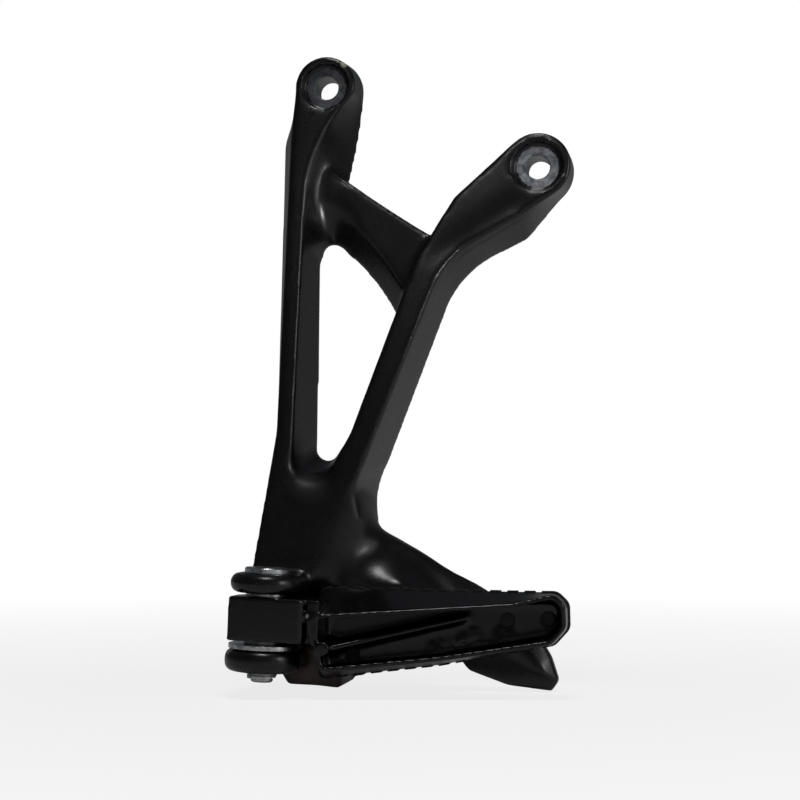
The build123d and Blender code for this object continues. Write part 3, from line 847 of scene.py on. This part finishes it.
def lathe(name, centre, profile, material, body):
    """Surface of revolution about a line along Y through centre: each profile point is (radius, y). It is
    turned in equal steps, and four-sided faces join each ring to the next."""
    profile = np.array(profile, float)
    angle = np.linspace(0, 2 * math.pi, SEAT_TURNS, endpoint=False)
    ring = np.stack([np.cos(angle), np.zeros(SEAT_TURNS), np.sin(angle)], 1)
    radius, depth = profile[:, 0][:, None, None], profile[:, 1][:, None, None]
    vertices = (radius * ring[None] + depth * DEPTH_AXIS).reshape(-1, 3) + centre
    rows, columns = np.meshgrid(np.arange(len(profile) - 1), np.arange(SEAT_TURNS), indexing="ij")
    here, below = rows * SEAT_TURNS, (rows + 1) * SEAT_TURNS
    after = (columns + 1) % SEAT_TURNS
    faces = np.stack([here + columns, here + after, below + after, below + columns], -1).reshape(-1, 4)
    return finish_object(name, vertices, faces, material, body)


def seat_profile(face, seat_radius):
    """Profile of a faced seat: down the counterbore's wall, round its small fillet, across its floor, over
    the hole's chamfer and through the hole to just short of the rear face."""
    floor = face + SEAT_DEPTH
    return [
        (seat_radius - RIM_GAP, face + RIM_DROP),
        (seat_radius - WALL_GAP, floor - FILLET_HEIGHT),
        (seat_radius - FILLET_WIDTH, floor - FLOOR_LIFT),
        (CHAMFER_RADIUS, floor - FLOOR_LIFT),
        (HOLE_RADIUS, floor + CHAMFER_DEPTH),
        (HOLE_RADIUS, -REAR_GAP),
    ]


def root_cutter():
    """Closed prism over the groove between the lug and the peg's end wall: its outline drawn out along
    Y."""
    along = np.cross(DEPTH_AXIS, PIN_AXIS)
    corners = [HINGE + (x * along + z * PIN_AXIS) / 1000 for x, z in ROOT_GROOVE]
    count = len(corners)
    vertices = [corner + np.array((0.0, depth / 1000, 0.0)) for depth in GROOVE_DEPTH for corner in corners]
    faces = [tuple(range(count)), tuple(range(2 * count - 1, count - 1, -1))]
    faces += [(k, k + count, (k + 1) % count + count, (k + 1) % count) for k in range(count)]
    mesh = bpy.data.meshes.new("root_groove")
    mesh.from_pydata([tuple(vertex) for vertex in vertices], [], faces)
    shell = bmesh.new()
    shell.from_mesh(mesh)
    bmesh.ops.recalc_face_normals(shell, faces=shell.faces)
    shell.to_mesh(mesh)
    shell.free()
    cutter = bpy.data.objects.new("root_groove", mesh)
    bpy.context.scene.collection.objects.link(cutter)
    return cutter


def dress(node, material):
    """Puts a material on a carried-over CAD node."""
    mesh = frame["nodes"][node].data
    mesh.materials.clear()
    mesh.materials.append(material)


def aimed_object(data, place, target):
    """Adds a lamp or a camera at a place and turns it to look at a target."""
    piece = bpy.data.objects.new(data.name, data)
    bpy.context.scene.collection.objects.link(piece)
    piece.location = place
    piece.rotation_euler = (Vector(target) - piece.location).to_track_quat("-Z", "Y").to_euler()
    return piece


class HangerCasting(bpy.types.PropertyGroup):
    """Size and coat of the cast hanger's skin"""

    voxel: bpy.props.FloatProperty(
        name="Skin voxel",
        description="Size of the skin's mesh",
        default=0.0008,
        min=0.0004,
        unit="LENGTH",
    )
    coat: bpy.props.FloatProperty(
        name="Coat roughness",
        description="Roughness of the satin coat",
        default=0.27,
        min=0.05,
        max=1.0,
        subtype="FACTOR",
    )
    colour: bpy.props.FloatVectorProperty(
        name="Coat colour",
        description="Colour of the clean satin coat",
        default=srgb("#09090a"),
        size=4,
        min=0.0,
        max=1.0,
        subtype="COLOR",
    )
    dust: bpy.props.FloatVectorProperty(
        name="Dusty coat",
        description="Colour of the satin coat under thin dust",
        default=srgb("#0e0e10"),
        size=4,
        min=0.0,
        max=1.0,
        subtype="COLOR",
    )


class HangerSeats(bpy.types.PropertyGroup):
    """Colours of the faced bolt seats. Seat B's colour is painted lighter than seat A's, as painted light
    for the stronger light on the right boss
    """

    dull: bpy.props.FloatVectorProperty(
        name="Bruised seat",
        description="Colour of both seats where a bolt's head has turned",
        default=srgb("#55565b"),
        size=4,
        min=0.0,
        max=1.0,
        subtype="COLOR",
    )
    # Seat A and seat B are the same faced aluminium. The difference between their colours is painted light
    # and shade: seat B is lighter for the stronger light on the right boss
    seat_a: bpy.props.FloatVectorProperty(
        name="Seat A",
        description="Colour of the clean faced metal in the left boss",
        default=srgb("#88898f"),
        size=4,
        min=0.0,
        max=1.0,
        subtype="COLOR",
    )
    seat_b: bpy.props.FloatVectorProperty(
        name="Seat B",
        description="Colour of the clean faced metal in the right boss",
        default=srgb("#b4b5bb"),
        size=4,
        min=0.0,
        max=1.0,
        subtype="COLOR",
    )


class HangerPeg(bpy.types.PropertyGroup):
    """Size and coat of the folding peg's skin"""

    voxel: bpy.props.FloatProperty(
        name="Peg voxel",
        description="Size of the peg skin's mesh",
        default=0.0005,
        min=0.0004,
        unit="LENGTH",
    )
    coat: bpy.props.FloatProperty(
        name="Peg roughness",
        description="Roughness of the peg's gloss coat",
        default=0.19,
        min=0.05,
        max=1.0,
        subtype="FACTOR",
    )
    colour: bpy.props.FloatVectorProperty(
        name="Peg colour",
        description="Colour of the clean gloss coat",
        default=srgb("#060607"),
        size=4,
        min=0.0,
        max=1.0,
        subtype="COLOR",
    )
    dust: bpy.props.FloatVectorProperty(
        name="Dusty peg",
        description="Colour of the gloss coat under thin dust",
        default=srgb("#09090a"),
        size=4,
        min=0.0,
        max=1.0,
        subtype="COLOR",
    )


class HangerTread(bpy.types.PropertyGroup):
    """Colours of the rubber tread"""

    dark: bpy.props.FloatVectorProperty(
        name="Rubber",
        description="Colour of the clean rubber",
        default=srgb("#0e0e0f"),
        size=4,
        min=0.0,
        max=1.0,
        subtype="COLOR",
    )
    rubbed: bpy.props.FloatVectorProperty(
        name="Rubbed rubber",
        description="Colour of the rubber where boots have rubbed it",
        default=srgb("#232323"),
        size=4,
        min=0.0,
        max=1.0,
        subtype="COLOR",
    )


class HangerHardware(bpy.types.PropertyGroup):
    """Colours of the hinge's steel"""

    steel: bpy.props.FloatVectorProperty(
        name="Ground steel",
        description="Colour of the pin, the clip, the plate, the shim and the ball",
        default=srgb("#d8d9da"),
        size=4,
        min=0.0,
        max=1.0,
        subtype="COLOR",
    )
    steel_dull: bpy.props.FloatVectorProperty(
        name="Handled steel",
        description="Colour of the ground steel where it has been handled",
        default=srgb("#8e8f92"),
        size=4,
        min=0.0,
        max=1.0,
        subtype="COLOR",
    )
    zinc: bpy.props.FloatVectorProperty(
        name="Zinc plate",
        description="Colour of both washers and the spring",
        default=srgb("#a6a7a2"),
        size=4,
        min=0.0,
        max=1.0,
        subtype="COLOR",
    )
    zinc_dull: bpy.props.FloatVectorProperty(
        name="Dull zinc",
        description="Colour of the zinc where it has gone dull",
        default=srgb("#6d6e6b"),
        size=4,
        min=0.0,
        max=1.0,
        subtype="COLOR",
    )


class HangerStage(bpy.types.PropertyGroup):
    """Lens and lamps of the photograph"""

    lens: bpy.props.FloatProperty(
        name="Lens",
        description="Focal length in millimetres, on a 36 mm sensor",
        default=85.135,
        unit="CAMERA",
    )
    key: bpy.props.FloatProperty(
        name="Key lamp",
        description="Power of the overhead lamp",
        default=2.8,
        subtype="POWER",
    )
    side: bpy.props.FloatProperty(
        name="Side lamp",
        description="Power of the broad lamp on the right",
        default=0.95,
        subtype="POWER",
    )
    corner: bpy.props.FloatProperty(
        name="Corner lamp",
        description="Power of the small lamp on the right",
        default=0.5,
        subtype="POWER",
    )
    front: bpy.props.FloatProperty(
        name="Arm lamp",
        description="Power of the narrow lamp on the right arm",
        default=6.0,
        subtype="POWER",
    )
    fill: bpy.props.FloatProperty(
        name="Front lamp",
        description="Power of the broad lamp behind the camera",
        default=0.05,
        subtype="POWER",
    )
    turn: bpy.props.FloatProperty(
        name="Right front lamp",
        description="Power of the broad lamp right of the camera",
        default=0.14,
        subtype="POWER",
    )
    low: bpy.props.FloatProperty(
        name="Low lamp",
        description="Power of the narrow lamp low on the right",
        default=2.2,
        subtype="POWER",
    )
    room: bpy.props.FloatProperty(
        name="Room light",
        description="Strength of the even light all round",
        default=0.065,
        min=0.0,
        subtype="FACTOR",
    )
    mirrored: bpy.props.FloatProperty(
        name="Paper in gloss",
        description="How much of the white paper behind shows in glossy surfaces",
        default=0.11,
        min=0.0,
        max=1.0,
        subtype="FACTOR",
    )


class HANGER_OT_stage(bpy.types.Operator):
    """Sets the floor, the lamps, the world and the camera of the photograph"""

    bl_idname = "hanger.stage"
    bl_label = "Stage"

    def execute(self, context):
        settings = context.scene.hanger_stage_settings
        scene = context.scene
        scene.view_settings.view_transform = "Standard"

        camera_data = bpy.data.cameras.new("photo_camera")
        camera_data.lens = settings.lens
        camera_data.sensor_width = SENSOR_WIDTH
        camera_data.clip_start, camera_data.clip_end = CLIP_RANGE
        scene.camera = aimed_object(camera_data, CAMERA_PLACE, CAMERA_TARGET)

        floor_z = CAD_LOW.z - FLOOR_GAP
        sides = ((-1, -1), (1, -1), (1, 1), (-1, 1))
        corners = [(x * FLOOR_REACH, y * FLOOR_REACH, floor_z) for x, y in sides]
        floor_mesh = bpy.data.meshes.new("floor")
        floor_mesh.from_pydata(corners, [], [(0, 1, 2, 3)])
        floor = bpy.data.objects.new("floor", floor_mesh)
        scene.collection.objects.link(floor)
        floor_mesh.materials.append(paper_material("white_paper", floor_z))

        scene.world = studio_world(settings.room, settings.mirrored)
        for name, place, size, power in BROAD_LAMPS:
            lamp = bpy.data.lights.new(name, "AREA")
            lamp.shape = "RECTANGLE"
            lamp.size, lamp.size_y = size
            lamp.energy = getattr(settings, power)
            aimed_object(lamp, place, LAMP_TARGET)
        for name, place, target, bulb, power in NARROW_LAMPS:
            lamp = bpy.data.lights.new(name, "SPOT")
            lamp.energy = getattr(settings, power)
            lamp.spot_size = CONE_ANGLE
            lamp.spot_blend = CONE_BLEND
            lamp.shadow_soft_size = bulb
            aimed_object(lamp, place, target)
        return {"FINISHED"}


class HANGER_OT_casting(bpy.types.Operator):
    """Draws the coated casting's soft skin"""

    bl_idname = "hanger.casting"
    bl_label = "Cast hanger"

    def execute(self, context):
        settings = context.scene.hanger_casting_settings
        satin = coat_material(
            "satin_powder_coat",
            settings.colour,
            settings.dust,
            settings.coat,
            specular=0.45,
            peel_mm=1.6,
            peel_height=0.000022,
            edge_mm=0.8,
            spots=CASTING_CHIPS,
            bare=srgb("#b3ad9a"),
            settled=CASTING_DUST_AND_TONE,
        )
        piece = cast_skin(
            "hanger_casting",
            "hanger_skin",
            settings.voxel,
            **CASTING_SOFTNESS,
            hold=hold_casting,
            blends=SOFT_PLACES,
            shape=shape_casting,
        )
        piece.data.materials.clear()
        piece.data.materials.append(satin)
        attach(piece, "hanger")
        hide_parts("hanger_casting")
        return {"FINISHED"}


class HANGER_OT_seats(bpy.types.Operator):
    """Draws the faced bolt seats in both bosses"""

    bl_idname = "hanger.seats"
    bl_label = "Bolt seats"

    def execute(self, context):
        settings = context.scene.hanger_seats_settings
        for name, bolt, face, seat_radius in SEATS:
            # Each seat's clean colour. Seat B's is painted lighter, as painted light on the right boss
            bright = getattr(settings, name)
            material = seat_material(name + "_faced_aluminium", tuple(bolt), settings.dull, bright)
            lathe(name, bolt, seat_profile(face, seat_radius), material, "hanger")
        return {"FINISHED"}


class HANGER_OT_peg(bpy.types.Operator):
    """Draws the glossy folding peg's skin"""

    bl_idname = "hanger.peg"
    bl_label = "Folding peg"

    def execute(self, context):
        settings = context.scene.hanger_peg_settings
        gloss = coat_material(
            "gloss_powder_coat",
            settings.colour,
            settings.dust,
            settings.coat,
            specular=0.42,
            peel_mm=2.2,
            peel_height=0.000012,
            edge_mm=0.5,
            spots=PEG_CHIPS,
            bare=srgb("#a9a9a6"),
            dents=PEG_DENTS,
        )
        cutter = root_cutter()
        piece = cast_skin(
            "footpeg",
            "peg_skin",
            settings.voxel,
            **PEG_SOFTNESS,
            hold=hold_peg,
            cutter=cutter,
        )
        bpy.data.objects.remove(cutter)
        piece.data.materials.clear()
        piece.data.materials.append(gloss)
        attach(piece, "peg")
        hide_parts("footpeg")
        return {"FINISHED"}


class HANGER_OT_tread(bpy.types.Operator):
    """Gives the rubber tread its finish"""

    bl_idname = "hanger.tread"
    bl_label = "Rubber tread"

    def execute(self, context):
        settings = context.scene.hanger_tread_settings
        dress("tread_rubber", rubber_material("moulded_rubber", settings.dark, settings.rubbed))
        return {"FINISHED"}


class HANGER_OT_hardware(bpy.types.Operator):
    """Gives the pin, plate, clip and washers their steel finishes"""

    bl_idname = "hanger.hardware"
    bl_label = "Hinge hardware"

    def execute(self, context):
        settings = context.scene.hanger_hardware_settings
        bright = steel_material(
            "ground_steel",
            settings.steel,
            settings.steel_dull,
            rough=0.26,
            scratch_scale=GROUND_SCRATCHES,
        )
        zinc = steel_material(
            "zinc_plated_steel",
            settings.zinc,
            settings.zinc_dull,
            rough=0.42,
            scratch_scale=PLATED_SCRATCHES,
        )
        for node in ("pivot_pin", "pin_clip", "detent_plate", "upper_shim", "detent_ball"):
            dress(node, bright)
        for node in ("clip_washer", "lower_washer", "detent_spring"):
            dress(node, zinc)
        return {"FINISHED"}


class HANGER_PT_sidebar(bpy.types.Panel):
    """Lists the pieces and their settings"""

    bl_idname = "HANGER_PT_sidebar"
    bl_label = "Footrest hanger"
    bl_space_type = "VIEW_3D"
    bl_region_type = "UI"
    bl_category = "Hanger"

    def draw(self, context):
        for operator, setting, group in PIECES:
            self.layout.operator(operator.bl_idname)
            for name in group.__annotations__:
                self.layout.prop(getattr(context.scene, setting), name)


# Each operator, the scene's property that holds its settings, and their group
PIECES = (
    (HANGER_OT_stage, "hanger_stage_settings", HangerStage),
    (HANGER_OT_casting, "hanger_casting_settings", HangerCasting),
    (HANGER_OT_seats, "hanger_seats_settings", HangerSeats),
    (HANGER_OT_peg, "hanger_peg_settings", HangerPeg),
    (HANGER_OT_tread, "hanger_tread_settings", HangerTread),
    (HANGER_OT_hardware, "hanger_hardware_settings", HangerHardware),
)


def register():
    for operator, setting, group in PIECES:
        bpy.utils.register_class(group)
        bpy.utils.register_class(operator)
        setattr(bpy.types.Scene, setting, bpy.props.PointerProperty(type=group))
    bpy.utils.register_class(HANGER_PT_sidebar)


def unregister():
    bpy.utils.unregister_class(HANGER_PT_sidebar)
    for operator, setting, group in reversed(PIECES):
        delattr(bpy.types.Scene, setting)
        bpy.utils.unregister_class(operator)
        bpy.utils.unregister_class(group)


def main():
    register()
    bpy.ops.hanger.stage()
    bpy.ops.hanger.casting()
    bpy.ops.hanger.seats()
    bpy.ops.hanger.peg()
    bpy.ops.hanger.tread()
    bpy.ops.hanger.hardware()


if __name__ == "__main__":
    main()
